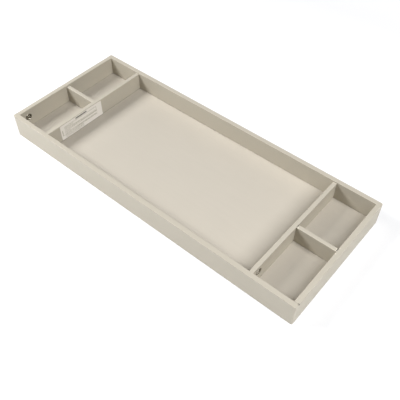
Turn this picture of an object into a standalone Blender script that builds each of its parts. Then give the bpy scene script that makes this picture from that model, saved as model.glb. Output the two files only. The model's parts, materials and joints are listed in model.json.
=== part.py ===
"""Changing tray for a dresser top, in metres, +Z up.

A painted wooden frame holds a floor panel in grooves. Two partitions set off a long
well for the changing pad, and a divider splits the space at each end into two bays.
The front rail is drawn on with cam locks and cam bolts, the back rail is screwed on
from behind, and dowels line up every joint.
The origin is at the middle of the underside, +X runs to the right end, +Y to the back.
"""

import math

import bmesh
import bpy
from mathutils import Matrix, Vector

# Overall size
TRAY_LENGTH = 1.216
TRAY_WIDTH = 0.485
TRAY_HEIGHT = 0.091

# Boards
RAIL_THICKNESS = 0.016
END_THICKNESS = 0.016
PARTITION_THICKNESS = 0.014
DIVIDER_THICKNESS = 0.014
WELL_LENGTH = 0.876
PARTITION_DROP = 0.0043
DIVIDER_DROP = 0.0051
CORNER_ROUND = 0.005
EDGE_ROUND = 0.0013
SEAM_EASE = 0.0005
FOOT_EASE = 0.0008

# Floor panel in its grooves
FLOOR_TOP = 0.0185
FLOOR_THICKNESS = 0.005
GROOVE_DEPTH = 0.006
PANEL_END_PLAY = 0.0005

# Clearances
FIT_GAP = 0.0003
DIVIDER_END_GAP = 0.0005
OVERRUN = 0.002

# Cam lock: a turned zinc disc with a hollow for the bolt's head
CAM_DIAMETER = 0.025
CAM_RIM_DROP = 0.0315
CAM_SETBACK = 0.033
CAM_RECESS = 0.0003
CAM_FACE_PLATE = 0.0032
CAM_BACK_PLATE = 0.0012
CAM_WALL = 0.0048
CAM_DRAW = 0.0013
CAM_TURN = math.radians(180)
CAM_FACE_TILT = math.radians(23)
POCKET_DEPTH = 0.0017
POCKET_HUB_RADIUS = 0.0052
POCKET_RIM = 0.0020
POCKET_SPAN = math.radians(118)
DRIVE_DEPTH = 0.0022
DRIVE_LENGTH = 0.0072
DRIVE_WIDTH = 0.0015

# Cam bolt
BOLT_HEAD_DIAMETER = 0.0064
BOLT_HEAD_LENGTH = 0.0030
BOLT_NECK_DIAMETER = 0.0040
BOLT_NECK_LEAD = 0.0012
BOLT_SHANK_DIAMETER = 0.0060
BOLT_COLLAR_DIAMETER = 0.0076
BOLT_COLLAR_LENGTH = 0.0015
BOLT_THREAD_DIAMETER = 0.0065
BOLT_ROOT_DIAMETER = 0.0048
BOLT_THREAD_PITCH = 0.0023
RAIL_SKIN = 0.0045

# Connector screw
SCREW_LENGTH = 0.050
SCREW_HEAD_DIAMETER = 0.010
SCREW_HEAD_LENGTH = 0.0035
SCREW_HEAD_RECESS = 0.0003
SCREW_SHANK_DIAMETER = 0.0070
SCREW_SHANK_LENGTH = 0.0090
SCREW_ROOT_DIAMETER = 0.0050
SCREW_THREAD_PITCH = 0.0040
SOCKET_WIDTH = 0.0040
SOCKET_DEPTH = 0.0028

# Dowels
DOWEL_DIAMETER = 0.008
DOWEL_LENGTH = 0.028
DOWEL_RAIL_DEPTH = 0.011
DOWEL_FLOOR_RISE = 0.0095
PEG_DIAMETER = 0.006
PEG_LENGTH = 0.024
PEG_BOARD_DEPTH = 0.009
PEG_HEIGHT_SHARES = (0.25, 0.75)
DOWEL_END_TAPER = 0.001
FLUTE_DEPTH = 0.0002

# Label of plain paper on the left partition
LABEL_LENGTH = 0.196
LABEL_FRONT_MARGIN = 0.0535
LABEL_EDGE_MARGIN = 0.003
LABEL_THICKNESS = 0.0003

# Counts of flats and steps, and the angle past which an edge stays sharp
CORNER_STEPS = 6
EDGE_STEPS = 2
HOLE_FLATS = 16
CAM_FLATS = 40
BOLT_FLATS = 12
DOWEL_FLUTES = 8
POCKET_STEPS = 8
SHARP_ANGLE = math.radians(35)

# Places worked out from the sizes
HALF_LENGTH = TRAY_LENGTH / 2
HALF_WIDTH = TRAY_WIDTH / 2
RAIL_FACE = HALF_WIDTH - RAIL_THICKNESS
END_FACE = HALF_LENGTH - END_THICKNESS
WELL_FACE = WELL_LENGTH / 2
BAY_FACE = WELL_FACE + PARTITION_THICKNESS
BOARD_HALF_SPAN = RAIL_FACE - FIT_GAP
FLOOR_UNDERSIDE = FLOOR_TOP - FLOOR_THICKNESS
INNER_FOOT = FLOOR_TOP + FIT_GAP
PARTITION_TOP = TRAY_HEIGHT - PARTITION_DROP
DIVIDER_TOP = TRAY_HEIGHT - DIVIDER_DROP
BOLT_HEIGHT = TRAY_HEIGHT - CAM_RIM_DROP
DOWEL_HEIGHT = FLOOR_TOP + DOWEL_FLOOR_RISE

# The cam's hollow is as high as the bolt's head needs
HEAD_HOLLOW = BOLT_HEAD_DIAMETER + 2 * FIT_GAP
NECK_HOLLOW = BOLT_NECK_DIAMETER + 2 * FIT_GAP
CAM_THICKNESS = CAM_FACE_PLATE + HEAD_HOLLOW + CAM_BACK_PLATE
CAM_HOLLOW_RADIUS = CAM_DIAMETER / 2 - CAM_WALL
BOLT_AXIS_DEPTH = CAM_RECESS + CAM_FACE_PLATE + HEAD_HOLLOW / 2
CAM_PLACE = -(RAIL_FACE - CAM_SETBACK)

# Paint, wood, metal and paper
PAINT = ("greige_paint", (0.60, 0.55, 0.47), 0.45, 0.0)
PANEL_PAINT = ("panel_paint", (0.62, 0.57, 0.49), 0.50, 0.0)
ZINC = ("zinc", (0.42, 0.41, 0.38), 0.38, 1.0)
STEEL = ("plated_steel", (0.56, 0.55, 0.52), 0.32, 1.0)
BEECH = ("beech", (0.55, 0.38, 0.21), 0.65, 0.0)
PAPER = ("paper", (0.66, 0.62, 0.53), 0.55, 0.0)


def clear_scene():
    """Remove every object, so that the file holds the tray alone."""
    for item in list(bpy.data.objects):
        bpy.data.objects.remove(item, do_unlink=True)


def finish_material(finish):
    """Return the Principled material of one finish, made on its first use."""
    name, color, roughness, metallic = finish
    material = bpy.data.materials.get(name)
    if material is None:
        material = bpy.data.materials.new(name)
        material.use_nodes = True
        shader = material.node_tree.nodes["Principled BSDF"]
        shader.inputs["Base Color"].default_value = (*color, 1.0)
        shader.inputs["Roughness"].default_value = roughness
        shader.inputs["Metallic"].default_value = metallic
        material.diffuse_color = (*color, 1.0)
    return material


def make_object(name, bm, finish=None, smooth=False):
    """Turn a bmesh into an object of the scene, with its finish."""
    bmesh.ops.recalc_face_normals(bm, faces=bm.faces[:])
    mesh = bpy.data.meshes.new(name)
    bm.to_mesh(mesh)
    bm.free()
    if smooth:
        shade_round(mesh)
    if finish is not None:
        mesh.materials.append(finish_material(finish))
    item = bpy.data.objects.new(name, mesh)
    bpy.context.scene.collection.objects.link(item)
    return item


def shade_round(mesh):
    """Shade a turned mesh smooth, apart from its sharp edges."""
    mesh.shade_smooth()
    mesh.set_sharp_from_angle(angle=SHARP_ANGLE)


def drop(item):
    """Remove an object and its mesh."""
    mesh = item.data
    bpy.data.objects.remove(item, do_unlink=True)
    bpy.data.meshes.remove(mesh)


def take_mesh(item):
    """Keep an object's mesh and remove the object."""
    mesh = item.data
    bpy.data.objects.remove(item, do_unlink=True)
    return mesh


def box_bmesh(low, high):
    """Return a box between two corners."""
    bm = bmesh.new()
    bmesh.ops.create_cube(bm, size=1.0)
    low, high = Vector(low), Vector(high)
    size = high - low
    middle = (low + high) / 2
    place = Matrix.Translation(middle) @ Matrix.Diagonal((*size, 1.0))
    bmesh.ops.transform(bm, matrix=place, verts=bm.verts[:])
    return bm


def edges_along(bm, axis, test):
    """Return the edges that run along an axis and whose middle passes the test."""
    chosen = []
    for edge in bm.edges:
        run = (edge.verts[1].co - edge.verts[0].co).normalized()
        middle = (edge.verts[0].co + edge.verts[1].co) / 2
        if abs(run[axis]) > math.cos(math.radians(1)) and test(middle):
            chosen.append(edge)
    return chosen


def ease(bm, edges, radius, steps):
    """Round the given edges."""
    bmesh.ops.bevel(
        bm, geom=edges, offset=radius, offset_type="OFFSET", segments=steps,
        profile=0.5, affect="EDGES", material=-1, clamp_overlap=True,
    )


def slice_across(bm, axis, place):
    """Cut the faces along a plane square to an axis, and keep both sides."""
    point = Vector((0, 0, 0))
    normal = Vector((0, 0, 0))
    point[axis] = place
    normal[axis] = 1
    geometry = bm.verts[:] + bm.edges[:] + bm.faces[:]
    bmesh.ops.bisect_plane(bm, geom=geometry, plane_co=point, plane_no=normal)


def hole_cutter(name, start, direction, diameter, length, flats=HOLE_FLATS):
    """Return a hidden rod that cuts a clear hole for a round piece of a diameter."""
    bm = bmesh.new()
    reach = hole_reach(diameter, flats)
    bmesh.ops.create_cone(
        bm, cap_ends=True, segments=flats, radius1=reach, radius2=reach, depth=length,
    )
    turn = Vector((0, 0, 1)).rotation_difference(Vector(direction)).to_matrix().to_4x4()
    middle = Vector(start) + Vector(direction) * length / 2
    bmesh.ops.transform(bm, matrix=Matrix.Translation(middle) @ turn, verts=bm.verts[:])
    return hide_cutter(make_object(name, bm))


def hole_reach(diameter, flats):
    """Return how far a hole's corners reach where its flats clear a round piece."""
    return (diameter / 2 + FIT_GAP) / math.cos(math.pi / flats)


def box_cutter(name, low, high):
    """Return a hidden box for a square cut."""
    return hide_cutter(make_object(name, box_bmesh(low, high)))


def hide_cutter(cutter):
    """Keep a cutter out of the finished object."""
    cutter.hide_render = True
    cutter.display_type = "WIRE"
    return cutter


def cut(item, cutters):
    """Cut each cutter out of an object and remove the cutters."""
    for cutter in cutters:
        modifier = item.modifiers.new("cut", "BOOLEAN")
        modifier.operation = "DIFFERENCE"
        modifier.solver = "EXACT"
        modifier.object = cutter
    bpy.context.view_layer.update()
    graph = bpy.context.evaluated_depsgraph_get()
    mesh = bpy.data.meshes.new_from_object(item.evaluated_get(graph))
    item.modifiers.clear()
    blank = item.data
    item.data = mesh
    bpy.data.meshes.remove(blank)
    mesh.name = item.name
    for cutter in cutters:
        drop(cutter)
    return item


def outline_prism(points, low, high):
    """Return an upright prism on an outline of x and y points."""
    bm = bmesh.new()
    corners = [bm.verts.new((x, y, low)) for x, y in points]
    base = bm.faces.new(corners)
    grown = bmesh.ops.extrude_face_region(bm, geom=[base])
    raised = [part for part in grown["geom"] if isinstance(part, bmesh.types.BMVert)]
    bmesh.ops.translate(bm, verts=raised, vec=(0, 0, high - low))
    return bm


def turned_bmesh(profile, flats):
    """Turn a profile of radius and height points about the Z axis."""
    bm = bmesh.new()
    chain = [bm.verts.new((radius, 0, height)) for radius, height in profile]
    edges = [bm.edges.new(pair) for pair in zip(chain, chain[1:])]
    bmesh.ops.spin(
        bm, geom=chain + edges, cent=(0, 0, 0), axis=(0, 0, 1),
        angle=math.tau, steps=flats, use_merge=True,
    )
    bmesh.ops.remove_doubles(bm, verts=bm.verts[:], dist=FIT_GAP / 100)
    return bm


def aim(item, place, direction):
    """Put a piece's origin at a place and turn its Z axis to a direction."""
    item.location = place
    item.rotation_mode = "QUATERNION"
    item.rotation_quaternion = Vector((0, 0, 1)).rotation_difference(Vector(direction))
    return item


def joined_boards():
    """Return side, sort and middle of each board that runs from rail to rail."""
    end_middle = HALF_LENGTH - END_THICKNESS / 2
    partition_middle = WELL_FACE + PARTITION_THICKNESS / 2
    return (
        ("left", "end", -end_middle),
        ("left", "partition", -partition_middle),
        ("right", "partition", partition_middle),
        ("right", "end", end_middle),
    )


def cam_face(side, sort):
    """Return where a board's cam face lies along X, and which way it looks."""
    outward = -1 if side == "left" else 1
    if sort == "end":
        return outward * END_FACE, -outward
    return outward * BAY_FACE, outward


def bolt_place(side, sort):
    """Return the X place of the cam bolt that draws a board to the front rail."""
    face, looks = cam_face(side, sort)
    return face - looks * BOLT_AXIS_DEPTH


def rail_bmesh(outer, inner):
    """Return a rail between its outer and inner face, corners and edges rounded."""
    low, high = sorted((outer, inner))
    bm = box_bmesh((-HALF_LENGTH, low, 0), (HALF_LENGTH, high, TRAY_HEIGHT))
    middle = (outer + inner) / 2
    way = math.copysign(1, outer)
    ease(bm, edges_along(bm, 2, lambda m: (m.y - middle) * way > 0), CORNER_ROUND, CORNER_STEPS)
    ease(bm, edges_along(bm, 2, lambda m: (m.y - middle) * way < 0), SEAM_EASE, 1)
    for side in (-1, 1):
        slice_across(bm, 0, side * END_FACE)
    ease(bm, free_edges(bm, TRAY_HEIGHT, inner), EDGE_ROUND, EDGE_STEPS)
    ease(bm, free_edges(bm, 0, inner), FOOT_EASE, 1)
    return bm


def free_edges(bm, level, inner):
    """Return a rail's sharp edges at a level, but not where an end board butts."""
    chosen = []
    for edge in bm.edges:
        middle = (edge.verts[0].co + edge.verts[1].co) / 2
        at_level = all(abs(vert.co.z - level) < FIT_GAP for vert in edge.verts)
        butted = abs(middle.y - inner) < SEAM_EASE and abs(middle.x) > END_FACE - FIT_GAP
        if at_level and edge.calc_face_angle() > math.radians(60) and not butted:
            chosen.append(edge)
    return chosen


def rail_groove(name, way):
    """Return the stopped groove of a rail, as long as the floor panel needs."""
    reach = END_FACE + GROOVE_DEPTH
    near, far = sorted((way * (RAIL_FACE - OVERRUN), way * (RAIL_FACE + GROOVE_DEPTH)))
    low = (-reach, near, FLOOR_UNDERSIDE - FIT_GAP)
    high = (reach, far, FLOOR_TOP + FIT_GAP)
    return box_cutter(name, low, high)


def front_rail():
    """Make the front rail with its groove and its blind holes."""
    rail = make_object("front_rail", rail_bmesh(-HALF_WIDTH, -RAIL_FACE), PAINT)
    cutters = [rail_groove("groove", -1)]
    face = -RAIL_FACE + OVERRUN
    bolt_depth = OVERRUN + RAIL_THICKNESS - RAIL_SKIN + FIT_GAP
    dowel_depth = OVERRUN + DOWEL_RAIL_DEPTH + FIT_GAP
    for side, sort, middle in joined_boards():
        bolt = (bolt_place(side, sort), face, BOLT_HEIGHT)
        cutters.append(hole_cutter("bolt_hole", bolt, (0, -1, 0), BOLT_THREAD_DIAMETER, bolt_depth))
        dowel = (middle, face, DOWEL_HEIGHT)
        cutters.append(hole_cutter("dowel_hole", dowel, (0, -1, 0), DOWEL_DIAMETER, dowel_depth))
    return cut(rail, cutters)


def back_rail():
    """Make the back rail with its groove, screw holes and dowel holes."""
    rail = make_object("back_rail", rail_bmesh(HALF_WIDTH, RAIL_FACE), PAINT)
    cutters = [rail_groove("groove", 1)]
    dowel_depth = OVERRUN + DOWEL_RAIL_DEPTH + FIT_GAP
    for _, _, middle in joined_boards():
        cutters.append(screw_way_cutter(middle))
        dowel = (middle, RAIL_FACE - OVERRUN, DOWEL_HEIGHT)
        cutters.append(hole_cutter("dowel_hole", dowel, (0, 1, 0), DOWEL_DIAMETER, dowel_depth))
    return cut(rail, cutters)


def screw_way_cutter(middle):
    """Return one screw's countersink and through hole in the back rail."""
    wide = hole_reach(SCREW_HEAD_DIAMETER, HOLE_FLATS)
    narrow = hole_reach(SCREW_SHANK_DIAMETER, HOLE_FLATS)
    foot = -(SCREW_HEAD_RECESS + SCREW_HEAD_LENGTH + FIT_GAP)
    # The seat narrows over the head's lower half and runs straight above it.
    shoulder = foot + SCREW_HEAD_LENGTH / 2
    through = -(RAIL_THICKNESS + OVERRUN)
    profile = (
        (0, through), (narrow, through), (narrow, foot),
        (wide, shoulder), (wide, OVERRUN), (0, OVERRUN),
    )
    way = make_object("screw_way", turned_bmesh(profile, HOLE_FLATS))
    place = Matrix.Translation((middle, HALF_WIDTH, BOLT_HEIGHT))
    turn = Vector((0, 0, 1)).rotation_difference(Vector((0, 1, 0))).to_matrix().to_4x4()
    way.data.transform(place @ turn)
    return hide_cutter(way)


def cross_board(side, sort, middle):
    """Make an end board or a partition, with the holes of its fasteners."""
    at_end = sort == "end"
    if at_end:
        name, half, foot, top = side + "_end_board", END_THICKNESS / 2, 0, TRAY_HEIGHT
    else:
        name, half, foot, top = side + "_partition", PARTITION_THICKNESS / 2, INNER_FOOT, PARTITION_TOP
    bm = box_bmesh((middle - half, -BOARD_HALF_SPAN, foot), (middle + half, BOARD_HALF_SPAN, top))
    ease(bm, edges_along(bm, 1, lambda m: m.z > top - FIT_GAP), EDGE_ROUND, EDGE_STEPS)
    if at_end:
        ease(bm, edges_along(bm, 1, lambda m: m.z < FIT_GAP), FOOT_EASE, 1)
        ease(bm, edges_along(bm, 2, lambda m: abs(m.x) > HALF_LENGTH - FIT_GAP), SEAM_EASE, 1)
    board = make_object(name, bm, PAINT)
    cutters = cam_cutters(side, sort) + back_joint_cutters(middle) + peg_cutters(side, sort)
    cutters.append(front_dowel_cutter(middle))
    if at_end:
        cutters.append(end_groove(middle))
    return cut(board, cutters)


def end_groove(middle):
    """Return the floor panel's groove in an end board, open at both ends."""
    way = math.copysign(1, middle)
    near, far = sorted((way * (END_FACE - OVERRUN), way * (END_FACE + GROOVE_DEPTH)))
    low = (near, -HALF_WIDTH, FLOOR_UNDERSIDE - FIT_GAP)
    high = (far, HALF_WIDTH, FLOOR_TOP + FIT_GAP)
    return box_cutter("groove", low, high)


def cam_cutters(side, sort):
    """Return the cam's blind bore and the bolt's hole that leads to it."""
    face, looks = cam_face(side, sort)
    bore_start = (face + looks * OVERRUN, CAM_PLACE, BOLT_HEIGHT)
    bore_depth = OVERRUN + CAM_RECESS + CAM_THICKNESS + FIT_GAP
    bolt_start = (bolt_place(side, sort), -RAIL_FACE - OVERRUN, BOLT_HEIGHT)
    bolt_depth = OVERRUN + CAM_SETBACK
    return [
        hole_cutter("cam_bore", bore_start, (-looks, 0, 0), CAM_DIAMETER, bore_depth, CAM_FLATS),
        hole_cutter("bolt_hole", bolt_start, (0, 1, 0), BOLT_COLLAR_DIAMETER, bolt_depth),
    ]


def front_dowel_cutter(middle):
    """Return the dowel hole in a board's front end."""
    start = (middle, -RAIL_FACE - OVERRUN, DOWEL_HEIGHT)
    depth = OVERRUN + DOWEL_LENGTH - DOWEL_RAIL_DEPTH + FIT_GAP
    return hole_cutter("dowel_hole", start, (0, 1, 0), DOWEL_DIAMETER, depth)


def back_joint_cutters(middle):
    """Return the screw hole and the dowel hole in a board's back end."""
    screw_start = (middle, RAIL_FACE + OVERRUN, BOLT_HEIGHT)
    screw_depth = OVERRUN + SCREW_HEAD_RECESS + SCREW_LENGTH - RAIL_THICKNESS + FIT_GAP
    dowel_start = (middle, RAIL_FACE + OVERRUN, DOWEL_HEIGHT)
    dowel_depth = OVERRUN + DOWEL_LENGTH - DOWEL_RAIL_DEPTH + FIT_GAP
    return [
        hole_cutter("screw_hole", screw_start, (0, -1, 0), SCREW_SHANK_DIAMETER, screw_depth),
        hole_cutter("dowel_hole", dowel_start, (0, -1, 0), DOWEL_DIAMETER, dowel_depth),
    ]


def peg_heights():
    """Return the heights of the pegs that hold a divider."""
    return [INNER_FOOT + share * (DIVIDER_TOP - INNER_FOOT) for share in PEG_HEIGHT_SHARES]


def peg_cutters(side, sort):
    """Return the peg holes in the face that a divider meets."""
    face, looks = cam_face(side, sort)
    start = face + looks * OVERRUN
    depth = OVERRUN + PEG_BOARD_DEPTH + FIT_GAP
    return [
        hole_cutter("peg_hole", (start, 0, height), (-looks, 0, 0), PEG_DIAMETER, depth)
        for height in peg_heights()
    ]


def divider(side):
    """Make the divider of one end, with the peg holes in both of its ends."""
    way = -1 if side == "left" else 1
    near, far = BAY_FACE + DIVIDER_END_GAP, END_FACE - DIVIDER_END_GAP
    ends = sorted((way * near, way * far))
    low = (ends[0], -DIVIDER_THICKNESS / 2, INNER_FOOT)
    high = (ends[1], DIVIDER_THICKNESS / 2, DIVIDER_TOP)
    bm = box_bmesh(low, high)
    top = [edge for edge in bm.edges if all(vert.co.z > DIVIDER_TOP - FIT_GAP for vert in edge.verts)]
    ease(bm, top, EDGE_ROUND, EDGE_STEPS)
    board = make_object(side + "_divider", bm, PAINT)
    depth = OVERRUN + PEG_LENGTH - PEG_BOARD_DEPTH
    cutters = []
    for height in peg_heights():
        for end, way_in in ((ends[0], 1), (ends[1], -1)):
            start = (end - way_in * OVERRUN, 0, height)
            cutters.append(hole_cutter("peg_hole", start, (way_in, 0, 0), PEG_DIAMETER, depth))
    return cut(board, cutters)


def floor_panel():
    """Make the floor panel, which sits in the grooves of all four boards."""
    reach_x = END_FACE + GROOVE_DEPTH - PANEL_END_PLAY
    reach_y = RAIL_FACE + GROOVE_DEPTH - PANEL_END_PLAY
    low = (-reach_x, -reach_y, FLOOR_UNDERSIDE)
    high = (reach_x, reach_y, FLOOR_TOP)
    return make_object("floor_panel", box_bmesh(low, high), PANEL_PAINT)


def hollow_outline():
    """Return the cam's hollow with its mouth, which opens towards +Y.

    The hollow is closest to the cam's axis where the locked bolt leaves it, at -Y,
    and widens both ways round to the mouth.
    """
    half_mouth = HEAD_HOLLOW / 2
    reach = CAM_DIAMETER / 2 + OVERRUN
    mouth_angle = math.asin(half_mouth / (CAM_HOLLOW_RADIUS + CAM_DRAW))
    steps = CAM_FLATS - CAM_FLATS // 6
    points = [(half_mouth, reach)]
    for step in range(steps + 1):
        angle = math.pi / 2 - mouth_angle - step / steps * (math.tau - 2 * mouth_angle)
        from_lock = abs(angle + math.pi / 2) / math.pi
        radius = CAM_HOLLOW_RADIUS + CAM_DRAW * from_lock
        points.append((radius * math.cos(angle), radius * math.sin(angle)))
    points.append((-half_mouth, reach))
    return points


def slot_outline():
    """Return the slot that the bolt's neck runs in, over the half at -X."""
    reach = CAM_DIAMETER / 2 + OVERRUN
    half_neck, half_mouth = NECK_HOLLOW / 2, HEAD_HOLLOW / 2
    steps = CAM_FLATS // 2
    points = [(half_neck, 0), (half_neck, -reach)]
    for step in range(steps + 1):
        angle = -math.pi / 2 - CAM_TURN * step / steps
        points.append((reach * math.cos(angle), reach * math.sin(angle)))
    points += [(half_mouth, reach), (half_mouth, 0)]
    return points


def pocket_outline(middle):
    """Return a kidney-shaped pocket of the cam's face about a middle angle."""
    points = []
    outer = CAM_DIAMETER / 2 - POCKET_RIM
    for radius, way in ((outer, 1), (POCKET_HUB_RADIUS, -1)):
        for step in range(POCKET_STEPS + 1):
            angle = middle + way * POCKET_SPAN * (step / POCKET_STEPS - 0.5)
            points.append((radius * math.cos(angle), radius * math.sin(angle)))
    return points


def cam_mesh():
    """Return the cam lock's mesh: its axis is Z, its face looks up at the origin."""
    bm = bmesh.new()
    bmesh.ops.create_cone(
        bm, cap_ends=True, segments=CAM_FLATS, radius1=CAM_DIAMETER / 2,
        radius2=CAM_DIAMETER / 2, depth=CAM_THICKNESS,
        matrix=Matrix.Translation((0, 0, -CAM_THICKNESS / 2)),
    )
    cam = make_object("cam_lock", bm, ZINC)
    axis = -(CAM_FACE_PLATE + HEAD_HOLLOW / 2)
    hollow = outline_prism(hollow_outline(), axis - HEAD_HOLLOW / 2, axis + HEAD_HOLLOW / 2)
    slot = outline_prism(slot_outline(), axis - NECK_HOLLOW / 2, axis + NECK_HOLLOW / 2)
    cutters = [make_object("hollow", hollow), make_object("slot", slot)]
    tilt = Matrix.Rotation(CAM_FACE_TILT, 4, "Z")
    for middle in (math.pi / 2, -math.pi / 2):
        pocket = outline_prism(pocket_outline(middle), -POCKET_DEPTH, OVERRUN)
        pocket.transform(tilt)
        cutters.append(make_object("pocket", pocket))
    cutters.append(make_object("drive", drive_bmesh(tilt)))
    for cutter in cutters:
        hide_cutter(cutter)
    cut(cam, cutters)
    shade_round(cam.data)
    return take_mesh(cam)


def drive_bmesh(tilt):
    """Return the cross recess for the screwdriver."""
    half, thin = DRIVE_LENGTH / 2, DRIVE_WIDTH / 2
    quarter = ((half, thin), (thin, thin), (thin, half))
    points = []
    for turn in range(4):
        spin = Matrix.Rotation(turn * math.pi / 2, 2)
        points += [tuple(spin @ Vector(point)) for point in quarter]
    bm = outline_prism(points, -DRIVE_DEPTH, OVERRUN)
    bm.transform(tilt @ Matrix.Rotation(math.pi / 4, 4, "Z"))
    return bm


def cam_locks():
    """Place one cam lock in each bore, its origin on its own axis."""
    mesh = cam_mesh()
    for side, sort, _ in joined_boards():
        face, looks = cam_face(side, sort)
        name = side + "_" + sort + "_cam_lock"
        cam = bpy.data.objects.new(name, mesh)
        bpy.context.scene.collection.objects.link(cam)
        cam.location = (face - looks * CAM_RECESS, CAM_PLACE, BOLT_HEIGHT)
        cam.rotation_euler = (0, looks * math.pi / 2, 0)


def thread_profile(start, length, pitch, root, crest):
    """Return a thread's profile from its start, as turns of one pitch each."""
    turns = max(1, math.floor(length / pitch))
    step = length / turns
    points = []
    for turn in range(turns):
        foot = start + turn * step
        points += [(root / 2, foot), (crest / 2, foot + step / 2)]
    points.append((root / 2, start + length))
    return points


def cam_bolt_mesh():
    """Return the cam bolt's mesh: Z runs from the rail's face towards the cam."""
    thread = RAIL_THICKNESS - RAIL_SKIN
    # The head's edge lies inside the hollow's round wall, clear of it by the gap.
    wall = CAM_HOLLOW_RADIUS * math.cos(math.pi / CAM_FLATS)
    seat = math.sqrt(wall ** 2 - (BOLT_HEAD_DIAMETER / 2) ** 2) - FIT_GAP
    head_foot = CAM_SETBACK - seat
    head_top = head_foot + BOLT_HEAD_LENGTH
    # The neck is longer than the cam's wall is thick, so the shank stays out of its slot.
    neck_foot = CAM_SETBACK - CAM_DIAMETER / 2 - BOLT_NECK_LEAD
    # A flange rests on the rail, one gap off its face.
    flange_foot = FIT_GAP
    flange_top = FIT_GAP + BOLT_COLLAR_LENGTH
    profile = [(0, -thread)]
    profile += thread_profile(
        -thread, thread, BOLT_THREAD_PITCH, BOLT_ROOT_DIAMETER, BOLT_THREAD_DIAMETER,
    )
    profile += [
        (BOLT_ROOT_DIAMETER / 2, flange_foot),
        (BOLT_COLLAR_DIAMETER / 2, flange_foot),
        (BOLT_COLLAR_DIAMETER / 2, flange_top),
        (BOLT_SHANK_DIAMETER / 2, flange_top),
        (BOLT_SHANK_DIAMETER / 2, neck_foot),
        (BOLT_NECK_DIAMETER / 2, neck_foot),
        (BOLT_NECK_DIAMETER / 2, head_foot),
        (BOLT_HEAD_DIAMETER / 2, head_foot),
        (BOLT_HEAD_DIAMETER / 2, head_top),
        (0, head_top),
    ]
    return take_mesh(make_object("cam_bolt", turned_bmesh(profile, BOLT_FLATS), STEEL, smooth=True))


def cam_bolts():
    """Screw one cam bolt into the front rail for each board."""
    mesh = cam_bolt_mesh()
    for side, sort, _ in joined_boards():
        bolt = bpy.data.objects.new(side + "_" + sort + "_cam_bolt", mesh)
        bpy.context.scene.collection.objects.link(bolt)
        aim(bolt, (bolt_place(side, sort), -RAIL_FACE, BOLT_HEIGHT), (0, 1, 0))


def screw_mesh():
    """Return the connector screw's mesh: Z runs from its head to its tip."""
    head_narrow = SCREW_HEAD_LENGTH / 2
    shank_top = SCREW_HEAD_LENGTH + SCREW_SHANK_LENGTH
    tip = SCREW_SHANK_DIAMETER - SCREW_ROOT_DIAMETER
    thread = SCREW_LENGTH - shank_top - tip
    profile = [
        (0, 0), (SCREW_HEAD_DIAMETER / 2, 0), (SCREW_HEAD_DIAMETER / 2, head_narrow),
        (SCREW_SHANK_DIAMETER / 2, SCREW_HEAD_LENGTH), (SCREW_SHANK_DIAMETER / 2, shank_top),
    ]
    profile += thread_profile(
        shank_top, thread, SCREW_THREAD_PITCH, SCREW_ROOT_DIAMETER, SCREW_SHANK_DIAMETER,
    )
    profile.append((0, SCREW_LENGTH))
    screw = make_object("connector_screw", turned_bmesh(profile, BOLT_FLATS), STEEL)
    corner = SOCKET_WIDTH / 2 / math.cos(math.pi / 6)
    bm = bmesh.new()
    bmesh.ops.create_cone(
        bm, cap_ends=True, segments=6, radius1=corner, radius2=corner,
        depth=SOCKET_DEPTH + OVERRUN,
        matrix=Matrix.Translation((0, 0, (SOCKET_DEPTH - OVERRUN) / 2)),
    )
    cut(screw, [hide_cutter(make_object("socket", bm))])
    shade_round(screw.data)
    return take_mesh(screw)


def connector_screws():
    """Drive one connector screw through the back rail into each board."""
    mesh = screw_mesh()
    for side, sort, middle in joined_boards():
        screw = bpy.data.objects.new(side + "_" + sort + "_connector_screw", mesh)
        bpy.context.scene.collection.objects.link(screw)
        aim(screw, (middle, HALF_WIDTH - SCREW_HEAD_RECESS, BOLT_HEIGHT), (0, -1, 0))


def dowel_mesh(diameter, length, name):
    """Return a fluted dowel with tapered ends, along Z from the origin."""
    points = []
    flats = 2 * DOWEL_FLUTES
    for step in range(flats):
        angle = step / flats * math.tau
        radius = diameter / 2 - (FLUTE_DEPTH if step % 2 else 0)
        points.append((radius * math.cos(angle), radius * math.sin(angle)))
    bm = outline_prism(points, 0, length)
    rims = [edge for edge in bm.edges if abs(edge.verts[1].co.z - edge.verts[0].co.z) < FLUTE_DEPTH]
    ease(bm, rims, DOWEL_END_TAPER, 1)
    return take_mesh(make_object(name, bm, BEECH))


def dowels():
    """Set a dowel in every joint between a rail and a board."""
    mesh = dowel_mesh(DOWEL_DIAMETER, DOWEL_LENGTH, "dowel")
    for side, sort, middle in joined_boards():
        for end, way in (("front", -1), ("back", 1)):
            dowel = bpy.data.objects.new(side + "_" + sort + "_" + end + "_dowel", mesh)
            bpy.context.scene.collection.objects.link(dowel)
            place = (middle, way * (RAIL_FACE + DOWEL_RAIL_DEPTH), DOWEL_HEIGHT)
            aim(dowel, place, (0, -way, 0))


def divider_pegs():
    """Set two small dowels in each end of both dividers."""
    mesh = dowel_mesh(PEG_DIAMETER, PEG_LENGTH, "peg")
    for side, way in (("left", -1), ("right", 1)):
        for sort, face, inward in (("partition", BAY_FACE, 1), ("end", END_FACE, -1)):
            for level, height in zip(("lower", "upper"), peg_heights()):
                name = side + "_divider_" + sort + "_" + level + "_peg"
                peg = bpy.data.objects.new(name, mesh)
                bpy.context.scene.collection.objects.link(peg)
                start = way * (face - inward * PEG_BOARD_DEPTH)
                aim(peg, (start, 0, height), (way * inward, 0, 0))


def paper_label():
    """Make the blank paper label on the left partition's well side."""
    front = -RAIL_FACE + LABEL_FRONT_MARGIN
    face = -WELL_FACE + FIT_GAP
    low = (face, front, INNER_FOOT + LABEL_EDGE_MARGIN)
    high = (face + LABEL_THICKNESS, front + LABEL_LENGTH, PARTITION_TOP - LABEL_EDGE_MARGIN)
    return make_object("blank_label", box_bmesh(low, high), PAPER)


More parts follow.
